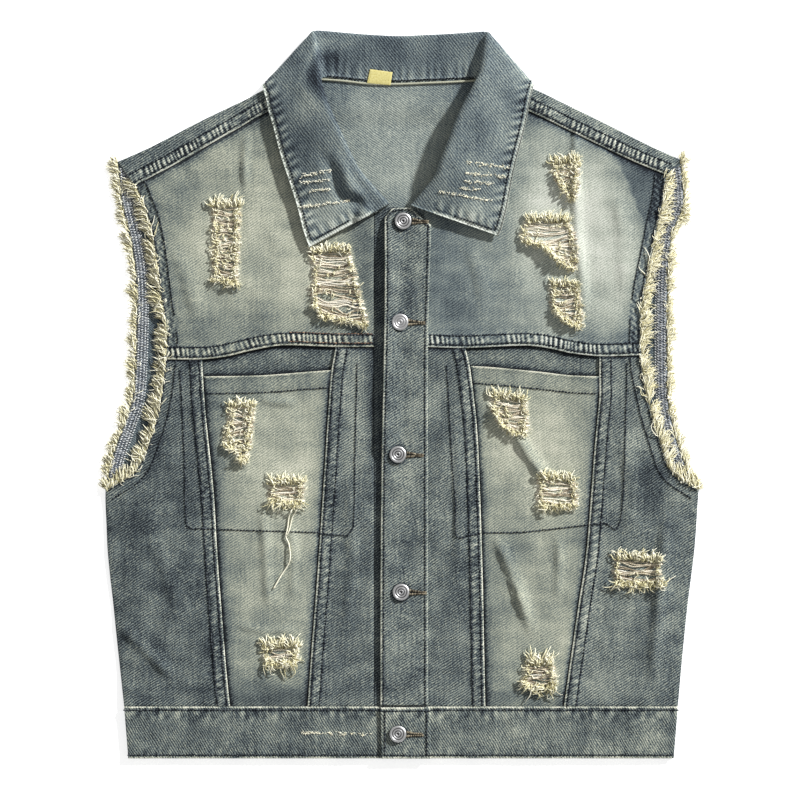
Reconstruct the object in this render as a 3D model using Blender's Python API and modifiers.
"""A sleeveless denim vest laid flat with its front up.

Sizes are in millimetres: X runs across the vest, Y up to its collar, and Z up from the surface
that it lies on. _r is the wearer's right, on the low X side, and _l the wearer's left.
"""

import math

import bmesh
import bpy
from mathutils import Vector
from mathutils.bvhtree import BVHTree
from mathutils.geometry import delaunay_2d_cdt

MM = 0.001

# Driving sizes
HEM = -349.0
BAND_TOP = -299.0
STAND_EDGE = -26.0
PLACKET_EDGE = 22.0
CLOTH = 1.2
BAND = 2.4
COLLAR = 1.8
GAP = 0.3
GRID = 20.0
BACK_GRID = 42.0
LOFT = 1.8
LEAF_LIFT = 2.4
SEAM_WIDTH = 11.0
SEAM_RISE = 0.7
PLACKET_REACH = 30.0
FACING_DROP = 1.8
FACING_BELOW_MOUTH = 14.0
ARMPIT_Y = -91.0
HALF_WIDTH = 287.0
SIDE_SLOPE = 0.1
SHOULDER_TOP = 294.0
SHOULDER_SLOPE = 0.49
LEAF_HALF_WIDTH = 137.0
LEAF_LOWEST = 279.0
LEAF_FADE = 24.0
NECK_ROOM = 1.5
LABEL_BOTTOM = 4.6
LABEL_THICKNESS = 0.7
FRINGE_STRIP = 3.0
FRINGE_PITCH = 9.5
FRINGE_THICKNESS = 1.0
FRINGE_FRONT_LENGTH = 12.0
FRINGE_BACK_LENGTH = 7.0
FRINGE_LIFT = 0.2
STRAND = 2.0
STRAND_TIP_HEIGHT = 0.8
STRAND_CLEAR = 0.5
POINT_ROOM = 0.42
FOLD_PITCH = 14.0
HOLE_STEP = 14.0
HOLE_CORNER = 3.0
BUTTON_RADIUS = 8.3
SHANK_RADIUS = 3.0
KEYHOLE_RADIUS = 3.8
KEYHOLE_SLOT = 2.0
KEYHOLE_END = 22.0

# Seams and edges, each as the (x, y) points that a smooth line passes through
LINES = {
    "shoulder_edge_r": [(-86, 309), (-130, 294), (-145, 286), (-193, 263), (-241, 238), (-273, 224)],
    "shoulder_seam_r": [(-90, 284), (-125, 273), (-156, 256), (-193, 235), (-221, 219), (-256, 201)],
    "shoulder_end_r": [(-273, 224), (-256, 201)],
    "armhole_front_r": [(-256, 201), (-241, 160), (-231, 91), (-226, 60), (-227, 34), (-232, -5),
                        (-242, -43), (-256, -72), (-284, -91)],
    "armhole_back_r": [(-273, 224), (-270, 187), (-259, 139), (-255, 91), (-258, 5), (-266, -24),
                       (-279, -62), (-284, -91)],
    "side_r": [(-284, -91), (-282, -149), (-277, -197), (-272, -245), (-266, -299)],
    "band_side_r": [(-266, -299), (-262, -349)],
    "yoke_seam_r": [(-227, 34), (-191, 34), (-167, 37), (-119, 47), (-63, 46), (-26, 46)],
    "outer_seam_r": [(-191, 34), (-190, 18), (-188, -13), (-180, -91), (-176, -156), (-168, -260), (-164, -299)],
    "inner_seam_r": [(-63, 46), (-67, 24), (-70, -13), (-75, -90), (-81, -178), (-86, -242), (-90, -299)],
    "mouth_r": [(-190, 18), (-134, 19), (-95, 22), (-67, 24)],
    "shoulder_edge_l": [(86, 309), (125, 295), (153, 282), (196, 261), (240, 239), (269, 226)],
    "shoulder_seam_l": [(87, 284), (121, 273), (163, 253), (196, 237), (228, 222), (255, 211)],
    "shoulder_end_l": [(269, 226), (255, 211)],
    "armhole_front_l": [(255, 211), (252, 187), (245, 154), (233, 91), (231, 38), (238, -5),
                        (249, -43), (260, -72), (286, -91)],
    "armhole_back_l": [(269, 226), (272, 184), (261, 154), (257, 110), (257, 5), (263, -34),
                       (271, -60), (286, -91)],
    "side_l": [(286, -91), (282, -149), (276, -197), (271, -245), (266, -299)],
    "band_side_l": [(266, -299), (262, -349)],
    "yoke_seam_l": [(22, 46), (62, 45), (125, 47), (163, 40), (190, 37), (231, 38)],
    "outer_seam_l": [(190, 37), (190, 18), (190, -3), (186, -46), (178, -147), (171, -195), (156, -299)],
    "inner_seam_l": [(62, 45), (66, 28), (70, -3), (74, -46), (78, -156), (80, -250), (81, -299)],
    "mouth_l": [(66, 28), (85, 27), (137, 22), (163, 19), (190, 18)],
    "neck_back": [(-86, 309), (-80, 302), (-56, 302), (-28, 299), (0, 299), (25, 300), (50, 301),
                  (79, 302), (86, 309)],
}

# Folds that stand up in the front: both ends, half width and height
FOLDS = [
    {"start": (-272, -221), "end": (-217, -274), "half": 12, "rise": 1.6},
    {"start": (-133, -110), "end": (-128, -206), "half": 10, "rise": 1.4},
    {"start": (-107, -120), "end": (-105, -197), "half": 9, "rise": 1.2},
    {"start": (90, -139), "end": (127, -235), "half": 12, "rise": 2.6},
    {"start": (150, -139), "end": (149, -197), "half": 9, "rise": 1.3},
    {"start": (252, -110), "end": (239, -280), "half": 13, "rise": 2.4},
    {"start": (-148, 250), "end": (-150, 194), "half": 9, "rise": 1.4},
    {"start": (180, 238), "end": (180, 62), "half": 12, "rise": 2.4},
    {"start": (108, -44), "end": (122, -78), "half": 10, "rise": 2.2},
    {"start": (-138, -4), "end": (-100, -9), "half": 8, "rise": 1.2},
    {"start": (-160, -222), "end": (-97, -226), "half": 8, "rise": 1.0},
]

# Half the collar on each side, from its front end to the middle of the back: neck seam, roll and
# outer edge as (x, y, z), the rise from stand to leaf at the roll, and the height halfway out
COLLAR_R = [
    {"neck": (-20, 176, 6.0), "roll": (-12, 183, 9.0), "edge": (-88, 142, 8.5), "turn": 1.6, "mid": 10.0},
    {"neck": (-33, 186, 6.0), "roll": (-25, 198, 12.0), "edge": (-94, 160, 9.0), "turn": 2.2, "mid": 12.5},
    {"neck": (-50, 201, 6.0), "roll": (-38, 213, 15.0), "edge": (-99, 180, 9.5), "turn": 2.5, "mid": 14.5},
    {"neck": (-64, 216, 6.0), "roll": (-47, 228, 17.0), "edge": (-107, 206, 10.0), "turn": 2.5, "mid": 16.0},
    {"neck": (-78, 242, 6.0), "roll": (-58, 252, 18.0), "edge": (-115, 230, 10.0), "turn": 2.5, "mid": 16.5},
    {"neck": (-88, 268, 7.0), "roll": (-69, 276, 18.0), "edge": (-122, 257, 10.0), "turn": 2.5, "mid": 16.5},
    {"neck": (-84, 291, 8.0), "roll": (-76, 298, 17.0), "edge": (-127, 274, 10.0), "turn": 2.5, "mid": 15.5},
    {"neck": (-77, 303, 7.0), "roll": (-78, 312, 15.0), "edge": (-129, 284, 9.5), "turn": 2.2, "mid": 14.0},
    {"neck": (-75, 305, 5.5), "roll": (-81, 330, 11.5), "edge": (-131, 291, 8.6), "turn": 1.5, "mid": 11.5},
    {"neck": (-73, 305, 4.8), "roll": (-84, 345, 9.0), "edge": (-132, 295.5, 7.0), "turn": 0.8, "mid": 8.6},
    {"neck": (-71, 305, 4.4), "roll": (-85, 348, 6.6), "edge": (-132, 297, 4.0), "turn": 0.0, "mid": 5.0},
    {"neck": (-70, 305, 4.0), "roll": (-83, 349, 4.6), "edge": (-131, 296.5, 1.15), "turn": -0.8, "mid": 1.8},
    {"neck": (-67, 305, 3.6), "roll": (-75, 349, 3.2), "edge": (-121, 293, 1.1), "turn": -1.1, "mid": 1.15},
    {"neck": (-56, 303, 3.4), "roll": (-52, 347, 2.25), "edge": (-90, 288, 1.05), "turn": -1.15, "mid": 1.05},
    {"neck": (-28, 300, 3.35), "roll": (-25, 345, 2.2), "edge": (-45, 286, 1.05), "turn": -1.15, "mid": 1.05},
    {"neck": (0, 300, 3.35), "roll": (0, 344, 2.2), "edge": (0, 286, 1.05), "turn": -1.15, "mid": 1.05},
]
COLLAR_L = [
    {"neck": (16, 178, 6.0), "roll": (10, 182, 9.0), "edge": (93, 153, 8.5), "turn": 1.6, "mid": 10.0},
    {"neck": (33, 185, 6.0), "roll": (22, 196, 12.0), "edge": (97, 163, 9.0), "turn": 2.2, "mid": 12.5},
    {"neck": (48, 199, 6.0), "roll": (33, 210, 15.0), "edge": (102, 184, 9.5), "turn": 2.5, "mid": 14.5},
    {"neck": (60, 215, 6.0), "roll": (38, 224, 17.0), "edge": (107, 211, 10.0), "turn": 2.5, "mid": 16.0},
    {"neck": (70, 240, 6.0), "roll": (45, 242, 18.0), "edge": (113, 236, 10.0), "turn": 2.5, "mid": 16.5},
    {"neck": (84, 266, 7.0), "roll": (56, 270, 18.0), "edge": (119, 260, 10.0), "turn": 2.5, "mid": 16.5},
    {"neck": (82, 290, 8.0), "roll": (69, 295, 17.0), "edge": (122, 276, 10.0), "turn": 2.5, "mid": 15.5},
    {"neck": (76, 302, 7.0), "roll": (76, 310, 15.0), "edge": (124, 286, 9.5), "turn": 2.2, "mid": 14.0},
    {"neck": (75, 304, 5.5), "roll": (80, 330, 11.5), "edge": (125.5, 292, 8.6), "turn": 1.5, "mid": 11.5},
    {"neck": (73, 304, 4.8), "roll": (82, 344, 9.0), "edge": (126.5, 296.5, 7.0), "turn": 0.8, "mid": 8.6},
    {"neck": (71, 304, 4.4), "roll": (84, 347, 6.6), "edge": (127, 298, 4.0), "turn": 0.0, "mid": 5.0},
    {"neck": (70, 304, 4.0), "roll": (82, 348, 4.6), "edge": (126, 297.5, 1.15), "turn": -0.8, "mid": 1.8},
    {"neck": (67, 304, 3.6), "roll": (74, 348, 3.2), "edge": (116, 293.5, 1.1), "turn": -1.1, "mid": 1.15},
    {"neck": (50, 302, 3.4), "roll": (45, 346, 2.25), "edge": (86, 288, 1.05), "turn": -1.15, "mid": 1.05},
    {"neck": (25, 301, 3.35), "roll": (22, 345, 2.2), "edge": (42, 286, 1.05), "turn": -1.15, "mid": 1.05},
]

# Worn holes: the corners of each, clockwise from its upper left, and the panel that it is in
RIPS = [
    {"panel": "yoke_r", "corners": [(-180, 184), (-156, 184), (-156, 110), (-180, 110)]},
    {"panel": "yoke_r", "corners": [(-87, 136), (-50, 136), (-34, 64), (-87, 90)]},
    {"panel": "pocket_r", "corners": [(-163, -14), (-145, -14), (-145, -53), (-163, -53)]},
    {"panel": "pocket_r", "corners": [(-124, -86), (-97, -86), (-97, -101), (-124, -101)]},
    {"panel": "pocket_r", "corners": [(-132, -242), (-101, -242), (-101, -257), (-132, -257)]},
    {"panel": "yoke_l", "corners": [(146, 226), (168, 226), (168, 198), (146, 198)]},
    {"panel": "yoke_l", "corners": [(115, 169), (166, 169), (168, 121), (115, 142)]},
    {"panel": "yoke_l", "corners": [(144, 108), (170, 108), (173, 64), (144, 85)]},
    {"panel": "pocket_l", "corners": [(87, -6), (121, -6), (121, -37), (87, -20)]},
    {"panel": "pocket_l", "corners": [(129, -67), (168, -67), (168, -118), (129, -118)]},
    {"panel": "pocket_l", "corners": [(117, -261), (148, -261), (148, -278), (117, -278)]},
    {"panel": "side_l", "corners": [(203, -156), (248, -156), (248, -183), (203, -183)]},
]
RIP_FRAME = 2.4
RIP_BAR = 1.6
RIP_PITCH = 8.5
RIP_THICKNESS = 1.9
TUFT_LAYER = 0.8
TUFTS = 4
TUFT_LENGTH = 11.0
TUFT_BOW = 0.15

# Buttons down the front, as (x, y)
BUTTONS = [(2, 167), (-1, 70), (-3, -57), (0, -189), (-3, -325)]

DENIM = (0.12, 0.15, 0.16)
FADED = (0.36, 0.38, 0.33)
DARK = (0.05, 0.07, 0.09)
INSIDE = (0.26, 0.30, 0.28)
CREAM = (0.72, 0.68, 0.55)


def ease(value, low, high):
    """0 up to low, 1 from high on, and a smooth step between them."""
    t = min(max((value - low) / (high - low), 0.0), 1.0)
    return t * t * (3.0 - 2.0 * t)


def rise_over_leaf(x, y):
    """How far the back is lifted where the collar's back leaf lies under it."""
    above = ease(y, LEAF_LOWEST - LEAF_FADE, LEAF_LOWEST)
    return LEAF_LIFT * above * (1.0 - ease(abs(x), LEAF_HALF_WIDTH, LEAF_HALF_WIDTH + 18.0))


def side_drop(x, y):
    """How far the front comes down to the back at the side seams and the shoulder edges."""
    side = HALF_WIDTH + (y - ARMPIT_Y) * SIDE_SLOPE
    at_side = (1.0 - ease(side - abs(x), 0.0, 28.0)) * (1.0 - ease(y, ARMPIT_Y - 19.0, ARMPIT_Y + 11.0))
    at_side *= ease(y, BAND_TOP, BAND_TOP + 38.0)
    shoulder = SHOULDER_TOP - (abs(x) - 130.0) * SHOULDER_SLOPE
    at_shoulder = 1.0 - ease(shoulder - y, 0.0, 22.0)
    return LOFT * max(at_side, at_shoulder)


def fold_rise(x, y):
    total = 0.0
    for fold in FOLDS:
        start = Vector(fold["start"])
        run = Vector(fold["end"]) - start
        along = (Vector((x, y)) - start).dot(run) / run.length_squared
        nearest = start + run * min(max(along, 0.0), 1.0)
        away = (Vector((x, y)) - nearest).length / fold["half"]
        fade = ease(along, -0.12, 0.25) * (1.0 - ease(along, 0.75, 1.12))
        total += fold["rise"] * fade * (1.0 - ease(away, 0.0, 1.0))
    return total


def front_bottom(x, y):
    """Height of the front's underside."""
    return CLOTH + GAP + LOFT + rise_over_leaf(x, y) - side_drop(x, y) + fold_rise(x, y)


def front_top(x, y):
    return front_bottom(x, y) + CLOTH


def facing_bottom(x, y):
    return front_bottom(x, y) - fold_rise(x, y) - FACING_DROP


def placket_bottom(x, y):
    return front_top(x, y) + GAP


def band_end_bottom(x, y):
    return front_bottom(x, y) + BAND + GAP


def spline(points, step=GRID):
    """A smooth line through points, with each of them on it."""
    points = [Vector(p) for p in points]
    padded = [points[0] * 2 - points[1]] + points + [points[-1] * 2 - points[-2]]
    line = []
    for before, a, b, after in zip(padded, padded[1:], padded[2:], padded[3:]):
        count = max(1, round((b - a).length / step))
        for i in range(count):
            t = i / count
            line.append(0.5 * (2 * a + (b - before) * t + (2 * before - 5 * a + 4 * b - after) * t * t
                               + (3 * a - before - 3 * b + after) * t ** 3))
    return line + [points[-1]]


def edge(name, start=None, end=None):
    """A named line, or the stretch of it between two of its points, in that order."""
    line = spline(LINES[name])
    first = 0 if start is None else nearest_index(line, start)
    last = len(line) - 1 if end is None else nearest_index(line, end)
    return line[first:last + 1] if first <= last else line[last:first + 1][::-1]


def nearest_index(line, point):
    return min(range(len(line)), key=lambda i: (line[i] - Vector(point)).length)


def outline(*stretches):
    """One closed outline from stretches that follow each other."""
    points = []
    for stretch in stretches:
        for p in stretch:
            p = Vector(p)
            if not points or (p - points[-1]).length > 1.0:
                points.append(p)
    while (points[0] - points[-1]).length < 1.0:
        points.pop()
    return points


def area(points):
    return 0.5 * sum(a.x * b.y - b.x * a.y for a, b in zip(points, points[1:] + points[:1]))


def inset(points, distance):
    """An outline moved inwards."""
    if area(points) < 0:
        points = points[::-1]
    moved = []
    for before, here, after in zip(points[-1:] + points[:-1], points, points[1:] + points[:1]):
        a = (here - before).normalized()
        b = (after - here).normalized()
        normal = Vector((-a.y - b.y, a.x + b.x))
        normal = normal / max(normal.length_squared / 2.0, 0.6)
        moved.append(here + normal * distance)
    return moved


def contains(points, p):
    inside = False
    for a, b in zip(points, points[1:] + points[:1]):
        if (a.y > p.y) != (b.y > p.y) and p.x < a.x + (p.y - a.y) * (b.x - a.x) / (b.y - a.y):
            inside = not inside
    return inside


def distance_to_line(points, p, closed=True):
    best = 1e9
    for a, b in zip(points, points[1:] + points[:1] if closed else points[1:]):
        run = b - a
        t = min(max((p - a).dot(run) / max(run.length_squared, 1e-9), 0.0), 1.0)
        best = min(best, (p - a - run * t).length)
    return best


def inner_points(loops, grid, seams):
    """Points inside a piece: along its lapped seams, along the folds, and on an even grid."""
    border = loops[0]
    wanted = []
    for seam in seams:
        for a, b in zip(seam, seam[1:]):
            run = (b - a).normalized()
            middle = (a + b) / 2
            for side in (-1, 1):
                wanted.append(middle + Vector((-run.y, run.x)) * side * SEAM_WIDTH)
    for fold in FOLDS if grid < BACK_GRID else []:
        start = Vector(fold["start"])
        run = Vector(fold["end"]) - start
        across = Vector((-run.y, run.x)).normalized() * fold["half"]
        count = max(2, round(run.length / FOLD_PITCH))
        for i in range(count + 1):
            wanted += [start + run * (i / count) + across * side for side in (-1, 0, 1)]
    low = [min(p[i] for p in border) for i in (0, 1)]
    high = [max(p[i] for p in border) for i in (0, 1)]
    row = math.ceil((LEAF_LOWEST - high[1]) / grid)
    while LEAF_LOWEST - row * grid > low[1]:
        y = LEAF_LOWEST - row * grid
        shift = grid / 2 * (row % 2)
        column = math.ceil((low[0] - shift) / grid)
        while column * grid + shift < high[0]:
            wanted.append(Vector((column * grid + shift, y)))
            column += 1
        row += 1
    room = POINT_ROOM * min(grid, GRID)
    kept = []
    for p in wanted:
        if not contains(border, p):
            continue
        if any(distance_to_line(loop, p) < room for loop in loops):
            continue
        if any((p - q).length < room for q in kept):
            continue
        kept.append(p)
    return kept


def flat_faces(bm, loops, inner, bottom):
    """The faces of a flat piece between its outline and its holes, at the height of its underside."""
    points = []
    edges = []
    for loop in loops:
        first = len(points)
        points += loop
        edges += [(first + i, first + (i + 1) % len(loop)) for i in range(len(loop))]
    points += inner
    found, _, triangles, *_ = delaunay_2d_cdt(points, edges, [], 0, 1e-5)
    kept = []
    for triangle in triangles:
        middle = sum((found[i] for i in triangle), Vector((0, 0))) / 3
        if contains(loops[0], middle) and not any(contains(hole, middle) for hole in loops[1:]):
            kept.append(triangle)
    used = sorted({i for triangle in kept for i in triangle})
    verts = {i: bm.verts.new((found[i].x, found[i].y, bottom(found[i].x, found[i].y))) for i in used}
    return [bm.faces.new([verts[i] for i in triangle]) for triangle in kept]


def thicken(bm, faces, thickness):
    """Gives flat faces a wall of thickness(x, y) upwards, and returns the faces on top."""
    made = bmesh.ops.extrude_face_region(bm, geom=faces)["geom"]
    for vert in made:
        if isinstance(vert, bmesh.types.BMVert):
            vert.co.z += thickness(vert.co.x, vert.co.y)
    return [face for face in made if isinstance(face, bmesh.types.BMFace)]


def finish(name, bm, colour, roughness=0.85, metallic=0.0):
    """Makes the object of a mesh in millimetres, with its own material."""
    bmesh.ops.recalc_face_normals(bm, faces=bm.faces)
    bmesh.ops.scale(bm, vec=(MM, MM, MM), verts=bm.verts)
    mesh = bpy.data.meshes.new(name)
    bm.to_mesh(mesh)
    bm.free()
    obj = bpy.data.objects.new(name, mesh)
    vest.objects.link(obj)
    material = bpy.data.materials.new(name)
    material.use_nodes = True
    shader = material.node_tree.nodes["Principled BSDF"]
    shader.inputs["Base Color"].default_value = (*colour, 1.0)
    shader.inputs["Roughness"].default_value = roughness
    shader.inputs["Metallic"].default_value = metallic
    mesh.materials.append(material)
    return obj


def cut_cloth(name, points, bottom, thickness, colour, holes=(), seams=(), grid=GRID):
    """A piece of cloth cut to an outline. Its top is raised beside the seams that it laps."""
    def wall(x, y):
        near = min([distance_to_line(seam, Vector((x, y)), False) for seam in seams] + [1e9])
        lap = 1.0 - ease(near, SEAM_WIDTH, SEAM_WIDTH + 3.0)
        return thickness + SEAM_RISE * lap * ease(abs(x), PLACKET_REACH, PLACKET_REACH + 8.0)

    bm = bmesh.new()
    loops = [inset(points, GAP / 2)] + [list(hole) for hole in holes]
    thicken(bm, flat_faces(bm, loops, inner_points(loops, grid, seams), bottom), wall)
    return finish(name, bm, colour)


def turned(name, profile, location, colour, steps=14):
    """A turned piece: its profile, outer side top to bottom, as (radius, height)."""
    bm = bmesh.new()
    verts = [bm.verts.new((radius, 0.0, height)) for radius, height in profile]
    for a, b in zip(verts, verts[1:]):
        bm.edges.new((a, b))
    obj = finish(name, bm, colour, 0.35, 1.0)
    obj.location = Vector(location) * MM
    screw = obj.modifiers.new("Screw", "SCREW")
    screw.steps = steps
    screw.render_steps = steps
    screw.use_merge_vertices = True
    screw.merge_threshold = 0.00001
    return obj


def rip_outline(rip):
    """A worn hole's outline, with its corners worn round."""
    corners = [Vector(p) for p in rip["corners"]]
    points = []
    for before, here, after in zip(corners[-1:] + corners[:-1], corners, corners[1:] + corners[:1]):
        points.append(here + (before - here).normalized() * HOLE_CORNER)
        points.append(here + (after - here).normalized() * HOLE_CORNER)
    return points


def keyhole(centre):
    """A buttonhole: round at the button, with a slot that runs to the wearer's left."""
    x, y = centre
    start = math.asin(KEYHOLE_SLOT / 2 / KEYHOLE_RADIUS)
    turns = [start + (2 * math.pi - 2 * start) * i / 11 for i in range(12)]
    arc = [Vector((x + KEYHOLE_RADIUS * math.cos(t), y + KEYHOLE_RADIUS * math.sin(t))) for t in turns]
    half = KEYHOLE_SLOT / 2
    return arc + [Vector((x + KEYHOLE_END, y - half)), Vector((x + KEYHOLE_END, y + half))]


def root_faces(bm, roots):
    """For each root, the highest upright face whose middle is there."""
    found = []
    for root in roots:
        best = None
        for face in bm.faces:
            middle = face.calc_center_median()
            if abs(face.normal.z) > 0.5 or (middle.xy - root).length > 0.7:
                continue
            if best is None or middle.z > best.calc_center_median().z:
                best = face
        found.append(best)
    return found


def grow_strands(bm, roots, strands):
    """Draws a strand out of the face at each root, to a tip as (x, y, z of its underside, width)."""
    bm.normal_update()
    faces = root_faces(bm, roots)
    for face, (x, y, z, width) in zip(faces, strands):
        middle = face.calc_center_median()
        low = min(vert.co.z for vert in face.verts)
        made = bmesh.ops.extrude_discrete_faces(bm, faces=[face])["faces"][0]
        for vert in made.verts:
            flat = (vert.co.xy - middle.xy) * width
            height = 0.0 if vert.co.z < low + 0.2 else STRAND_TIP_HEIGHT
            vert.co = Vector((x + flat.x, y + flat.y, z + height))


def neck_edge(rows):
    """The collar's neck seam moved out onto the front."""
    points = spline([Vector(row["neck"][:2]) for row in rows], 12.0)
    side = 1.0 if points[0].x < 0 else -1.0
    moved = []
    for before, here, after in zip(points[:1] + points[:-1], points, points[1:] + points[-1:]):
        run = (after - before).normalized()
        moved.append(here + Vector((-run.y, run.x)) * NECK_ROOM * side)
    return moved


def stepped(points, step):
    """An outline with points added along its long sides."""
    dense = []
    for a, b in zip(points, points[1:] + points[:1]):
        count = max(1, round((b - a).length / step))
        dense += [a + (b - a) * (i / count) for i in range(count)]
    return dense


def holes_in(panel):
    return [stepped(rip_outline(rip), HOLE_STEP) for rip in RIPS if rip["panel"] == panel]


# Clear the scene and make the vest's own collection
for obj in list(bpy.data.objects):
    bpy.data.objects.remove(obj, do_unlink=True)
vest = bpy.data.collections.new("denim_vest")
bpy.context.scene.collection.children.link(vest)


# Back: one layer, flat on the surface, lifted over the collar's back leaf
back_outline = outline(
    edge("neck_back"),
    edge("shoulder_edge_l"),
    edge("armhole_back_l"),
    edge("side_l"),
    edge("side_r", (-266, -299), (-284, -91)),
    edge("armhole_back_r", (-284, -91), (-273, 224)),
    edge("shoulder_edge_r", (-273, 224), (-86, 309)),
)


def back_piece():
    bm = bmesh.new()
    border = inset(back_outline, GAP / 2)
    wanted = inner_points([border], BACK_GRID, [])
    slope_start = LEAF_LOWEST - LEAF_FADE
    wanted = [p for p in wanted if p.y < slope_start - LEAF_FADE / 2]
    for y in (slope_start, slope_start + LEAF_FADE / 2, LEAF_LOWEST + 1.0, LEAF_LOWEST + LEAF_FADE / 2):
        wanted += [Vector((x, y)) for x in range(-160, 161, 16)]
    kept = [p for p in wanted if contains(border, p) and distance_to_line(border, p) > 5.0]
    thicken(bm, flat_faces(bm, [border], kept, rise_over_leaf), lambda x, y: CLOTH)
    return finish("back", bm, INSIDE)


back_piece()

# Shoulders: the back carried forward over each shoulder
for side in ("r", "l"):
    seam = edge("shoulder_seam_" + side)
    shoulder = outline(
        edge("shoulder_edge_" + side),
        edge("shoulder_end_" + side),
        seam[::-1],
    )
    cut_cloth("shoulder_" + side, shoulder, front_bottom, CLOTH, DENIM, seams=[seam])

# Front yokes
yoke_r = outline(
    [(STAND_EDGE, 176.0)],
    neck_edge(COLLAR_R[1:6]),
    edge("shoulder_seam_r"),
    edge("armhole_front_r", (-256, 201), (-227, 34)),
    edge("yoke_seam_r"),
)
cut_cloth("yoke_r", yoke_r, front_bottom, CLOTH, FADED, holes_in("yoke_r"), [edge("yoke_seam_r")])
yoke_l = outline(
    [(PLACKET_EDGE, 176.0)],
    neck_edge(COLLAR_L[1:6]),
    edge("shoulder_seam_l"),
    edge("armhole_front_l", (255, 211), (231, 38)),
    edge("yoke_seam_l", (231, 38), (22, 46)),
)
cut_cloth("yoke_l", yoke_l, front_bottom, CLOTH, FADED, holes_in("yoke_l"), [edge("yoke_seam_l")])

# Panels under the yokes, from the side seams to the front edges
for side, yoke_end, corner, front, sign in (
    ("r", (-227, 34), (-191, 34), (-26, 46), -1),
    ("l", (231, 38), (190, 37), (22, 46), 1),
):
    inner_top = (-63, 46) if side == "r" else (62, 45)
    armpit = (-284, -91) if side == "r" else (286, -91)
    outer = edge("outer_seam_" + side)
    inner = edge("inner_seam_" + side)
    yoke_seam = "yoke_seam_" + side
    side_panel = outline(
        edge("armhole_front_" + side, yoke_end, armpit),
        edge("side_" + side),
        outer[::-1],
        edge(yoke_seam, corner, yoke_end),
    )
    cut_cloth("side_" + side, side_panel, front_bottom, CLOTH, DENIM, holes_in("side_" + side), [outer])
    mouth = edge("mouth_" + side)
    if side == "l":
        mouth = mouth[::-1]
    under_mouth = [p for p in outer if p.y < mouth[0].y - 8.0]
    under_mouth_inner = [p for p in inner if p.y < mouth[-1].y - 8.0]
    pocket = outline(mouth, under_mouth_inner, under_mouth[::-1])
    cut_cloth("pocket_" + side, pocket, front_bottom, CLOTH, FADED, holes_in("pocket_" + side), [mouth])
    facing = outline(
        [p - Vector((0.0, FACING_BELOW_MOUTH)) for p in mouth],
        edge(yoke_seam, inner_top, corner),
    )
    cut_cloth("pocket_facing_" + side, facing, facing_bottom, CLOTH, DARK)
    front_edge = STAND_EDGE if side == "r" else PLACKET_EDGE
    centre = outline(
        inner,
        [(front_edge, BAND_TOP), (front_edge, -200.0), (front_edge, -100.0), (front_edge, 0.0)],
        edge(yoke_seam, front, inner_top),
    )
    cut_cloth("centre_" + side, centre, front_bottom, CLOTH, DENIM, seams=[inner])

# Button stand, under the placket
stand = outline(
    [(-26, 174), (-15, 181), (9, 179), (22, 172)],
    [(22, y) for y in (120, 46, 0, -100, -200, -299)],
    [(-26, y) for y in (-299, -200, -100, 0, 46, 120)],
)
cut_cloth("button_stand", stand, front_bottom, CLOTH, DENIM)

# Placket, two layers with its buttonholes, on the button stand
placket = outline(
    [(-16, 170), (-9, 179), (9, 180), (19, 171), (29, 163), (26, 46)],
    [(26, y) for y in (-100, -200, -298)],
    [(-20, -298), (-20, -197), (-19, -77), (-16, 80)],
)
cut_cloth("placket", placket, placket_bottom, BAND, DENIM, [keyhole(c) for c in BUTTONS[:4]])

# Hem bands, with the wearer's left end lapped over the right
band_back = outline(
    edge("band_side_r"),
    [(x, HEM) for x in (-180, -90, 0, 90, 180)],
    edge("band_side_l", (262, -349), (266, -299)),
    [(x, BAND_TOP) for x in (180, 90, 0, -90, -180)],
)
cut_cloth("waistband_back", band_back, lambda x, y: 0.0, BAND, DENIM, grid=BACK_GRID)
band_r = outline(
    edge("band_side_r"),
    [(x, HEM) for x in (-200, -140, -80, -26, 22)],
    [(22, BAND_TOP), (-26, BAND_TOP), (-90, BAND_TOP), (-164, BAND_TOP)],
)
cut_cloth("waistband_front_r", band_r, front_bottom, BAND, DENIM)
band_l = outline(
    [(22, BAND_TOP), (22, HEM)],
    [(x, HEM) for x in (81, 140, 200)],
    edge("band_side_l", (262, -349), (266, -299)),
    [(156, BAND_TOP), (81, BAND_TOP)],
)
cut_cloth("waistband_front_l", band_l, front_bottom, BAND, DENIM)
band_end = outline([(-20, BAND_TOP - 0.6), (-19, HEM), (29, HEM), (28, BAND_TOP - 0.6)])
cut_cloth("waistband_end", band_end, band_end_bottom, BAND, DENIM, [keyhole(BUTTONS[4])])


# Collar: one leaf rolled over its stand, from one front end round the back to the other
def collar_section(row, count=3):
    neck = Vector(row["neck"])
    roll = Vector(row["roll"])
    tip = Vector(row["edge"])
    stand_side = roll + (neck - roll).normalized() * min(4.0, (neck - roll).length * 0.45)
    stand_side.z = roll.z - row["turn"]
    leaf_side = roll + (tip - roll).normalized() * 4.0
    leaf_side.z = roll.z + row["turn"]
    middle = (roll + tip) / 2
    middle.z = row["mid"]
    controls = [neck, stand_side, roll, leaf_side, middle, tip]
    points = []
    for i, (a, b) in enumerate(zip(controls, controls[1:])):
        before = controls[max(i - 1, 0)]
        after = controls[min(i + 2, len(controls) - 1)]
        steps = count if (b - a).length > 8.0 or i in (0, 3, 4) else 2
        for k in range(steps):
            t = k / steps
            pull = 0.35
            h1 = 2 * t ** 3 - 3 * t * t + 1
            h2 = t ** 3 - 2 * t * t + t
            h3 = t ** 3 - t * t
            length = (b - a).length
            start = (b - before).normalized() * length * pull * 2
            end = (after - a).normalized() * length * pull * 2
            points.append(a * h1 + start * h2 + b * (1 - h1) + end * h3)
    return points + [tip]


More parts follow.
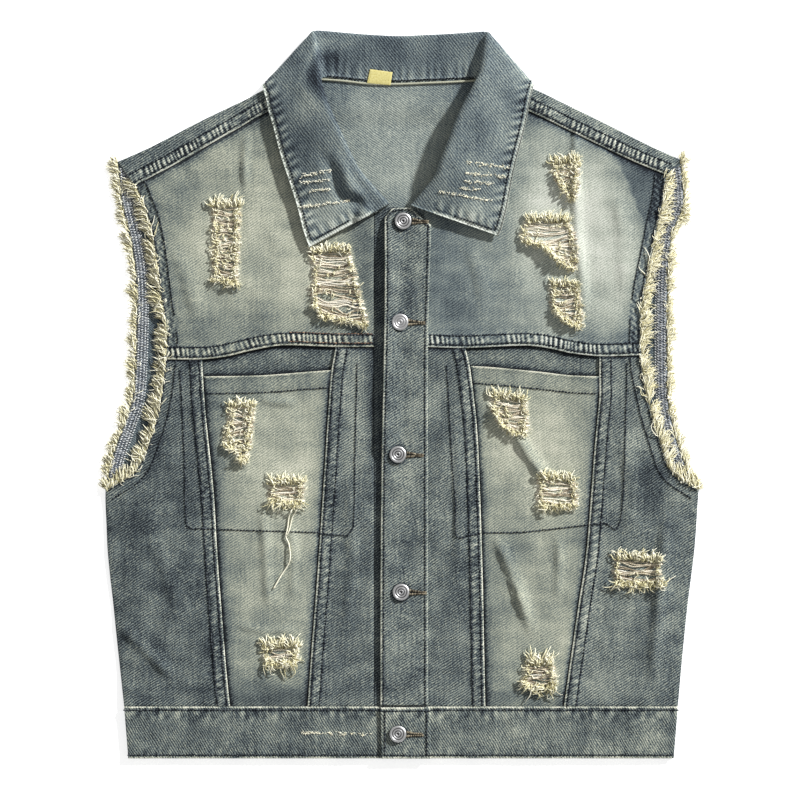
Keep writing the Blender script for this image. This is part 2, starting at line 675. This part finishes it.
def collar_piece():
    rows = COLLAR_R + COLLAR_L[::-1]
    sections = [collar_section(row) for row in rows]
    bm = bmesh.new()
    grid = [[bm.verts.new(p) for p in section] for section in sections]
    for left, right in zip(grid, grid[1:]):
        for a, b, c, d in zip(left, left[1:], right[1:], right):
            bm.faces.new((a, b, c, d))
    obj = finish("collar", bm, DENIM)
    wall = obj.modifiers.new("Solidify", "SOLIDIFY")
    wall.thickness = COLLAR * MM
    wall.offset = 0.0
    return obj


collar_piece()

# Label on the inside of the collar's stand
label = outline([(-30, 313), (-8, 310), (-10, 297), (-33, 299)])
cut_cloth("neck_label", label, lambda x, y: LABEL_BOTTOM, LABEL_THICKNESS, CREAM)

# Buttons: a cap on a shank that stands on the layer below its buttonhole
for number, (x, y) in enumerate(BUTTONS, 1):
    base = front_top(x, y) if number < 5 else front_bottom(x, y) + BAND
    low = GAP + BAND + GAP
    profile = [
        (0.0, low + 2.3), (3.2, low + 2.1), (3.8, low + 2.6), (5.6, low + 2.7), (BUTTON_RADIUS - 0.9, low + 2.2),
        (BUTTON_RADIUS, low + 1.2), (BUTTON_RADIUS - 0.3, low), (SHANK_RADIUS, low), (SHANK_RADIUS, 0.0), (0.0, 0.0),
    ]
    turned("button_%d" % number, profile, (x, y, base + GAP), (0.5, 0.5, 0.5))

# The cloth that the strands of fringe and rips lie on
bpy.context.view_layer.update()
COVERING = ("back", "yoke_r", "yoke_l", "side_r", "side_l", "pocket_r", "pocket_l", "centre_r", "centre_l",
            "shoulder_r", "shoulder_l", "waistband_front_r", "waistband_front_l")
trees = []
for obj_name in COVERING:
    mesh = bpy.data.objects[obj_name].data
    trees.append(BVHTree.FromPolygons([v.co for v in mesh.vertices], [p.vertices for p in mesh.polygons]))


def cloth_top(x, y, spread=3.0):
    """The highest cloth within a short way of (x, y)."""
    best = 0.0
    for dx, dy in ((0, 0), (spread, 0), (-spread, 0), (0, spread), (0, -spread)):
        for tree in trees:
            hit = tree.ray_cast(Vector((x + dx, y + dy, 100.0)) * MM, Vector((0, 0, -1)))[0]
            if hit:
                best = max(best, hit.z / MM)
    return best


# Frayed armhole edges: a narrow strip beside the cloth's edge, with strands that stand out of it
def even_points(line, pitch):
    """Points at an even pitch along a line, each with the direction of the line there."""
    points = []
    left = pitch / 2
    for a, b in zip(line, line[1:]):
        run = b - a
        while left <= run.length:
            points.append((a + run.normalized() * left, run.normalized()))
            left += pitch
        left -= run.length
    return points


def fringe(name, line, sign, bottom, length, drop):
    """line runs down the armhole, and sign is the side that the strands point to."""
    roots = even_points(line, FRINGE_PITCH)
    near = []
    far = []
    middles = []
    for p, run in roots:
        out = Vector((-run.y, run.x)) * sign
        near.append(p + out * 3 * GAP)
        far += [p + out * FRINGE_STRIP - run * STRAND / 2, p + out * FRINGE_STRIP + run * STRAND / 2]
        middles.append((p + out * FRINGE_STRIP, out))
    points = near + far[::-1]
    bm = bmesh.new()
    thicken(bm, flat_faces(bm, [points], [], bottom), lambda x, y: FRINGE_THICKNESS)
    strands = []
    for k, (middle, out) in enumerate(middles):
        reach = length * (0.8 + 0.35 * math.sin(2.3 * k) * math.sin(0.7 * k + 1.0))
        tip = middle + out * reach
        strands.append((tip.x, tip.y, drop(tip.x, tip.y), 0.55))
    grow_strands(bm, [middle for middle, _ in middles], strands)
    return finish(name, bm, CREAM, 0.9)


for side, sign in (("r", -1), ("l", 1)):
    front_line = edge("armhole_front_" + side)[1:-1]
    back_line = edge("armhole_back_" + side)[1:-1]
    fringe("fringe_front_" + side, front_line, sign, lambda x, y: front_bottom(x, y) + FRINGE_LIFT,
           FRINGE_FRONT_LENGTH, lambda x, y: cloth_top(x, y) + STRAND_CLEAR)
    fringe("fringe_back_" + side, back_line, sign, lambda x, y: FRINGE_LIFT,
           FRINGE_BACK_LENGTH, lambda x, y: 2 * FRINGE_LIFT)


# Worn holes: crosswise threads on a narrow frame, with tufts that lie on the cloth above and below
def rip_piece(name, rip):
    top_left, top_right, bottom_right, bottom_left = [Vector(p) for p in rip["corners"]]
    ring = inset(rip_outline(rip), GAP)[::-1]
    tufts = []
    roots = []
    for a, b in ((top_left, top_right), (bottom_right, bottom_left)):
        run = (b - a).normalized()
        out = Vector((-run.y, run.x))
        for k in range(TUFTS):
            pair = []
            for width in (-0.8, 0.8):
                along = ((k + 0.5) / TUFTS * 0.74 + 0.13) + width / (b - a).length
                bow = TUFT_BOW * math.sin(math.pi * along) - GAP
                pair.append(a + (b - a) * along + out * bow)
            tufts.append(((pair[0] + pair[1]) / 2, out, k))
            roots += pair
    border = ring[:2] + roots[:2 * TUFTS] + ring[2:6] + roots[2 * TUFTS:] + ring[6:]
    count = max(1, round((min(top_left.y, top_right.y) - max(bottom_left.y, bottom_right.y)) / RIP_PITCH))
    holes = []
    for k in range(count):
        high = (k + 0.0) / count
        low = (k + 1.0) / count
        corners = []
        for fraction, shift in ((high, -1), (low, 1)):
            for near, far, sign in ((top_left, bottom_left, 1), (top_right, bottom_right, -1)):
                p = near + (far - near) * fraction
                edge_room = RIP_FRAME if fraction in (0.0, 1.0) else RIP_BAR / 2
                corners.append(p + Vector((sign * RIP_FRAME, shift * edge_room)))
        holes.append([corners[0], corners[1], corners[3], corners[2]])
    bm = bmesh.new()
    faces = flat_faces(bm, [border] + holes, [], lambda x, y: front_bottom(x, y) + 0.1)
    tops = thicken(bm, faces, lambda x, y: RIP_THICKNESS)
    rooms = [(top_left, top_right), (bottom_right, bottom_left)]
    raised = [face for face in tops
              if any(distance_to_line([a, b], face.calc_center_median().xy, False) < RIP_FRAME for a, b in rooms)]
    thicken(bm, raised, lambda x, y: TUFT_LAYER)
    covered = [face for face in raised if face.is_valid]
    bmesh.ops.delete(bm, geom=covered, context="FACES_ONLY")
    strands = []
    for middle, out, k in tufts:
        reach = TUFT_LENGTH * (0.8 + 0.3 * math.sin(1.9 * k + middle.x))
        tip = middle + out * reach + Vector((1.5 * math.sin(3.1 * k + middle.y), 0.0))
        over = max(cloth_top(*middle.lerp(tip, t)) for t in (0.35, 0.7, 1.0))
        strands.append((tip.x, tip.y, over + STRAND_CLEAR, 0.8))
    grow_strands(bm, [middle for middle, *_ in tufts], strands)
    return finish(name, bm, CREAM, 0.9)


for number, rip in enumerate(RIPS, 1):
    rip_piece("rip_%02d" % number, rip)
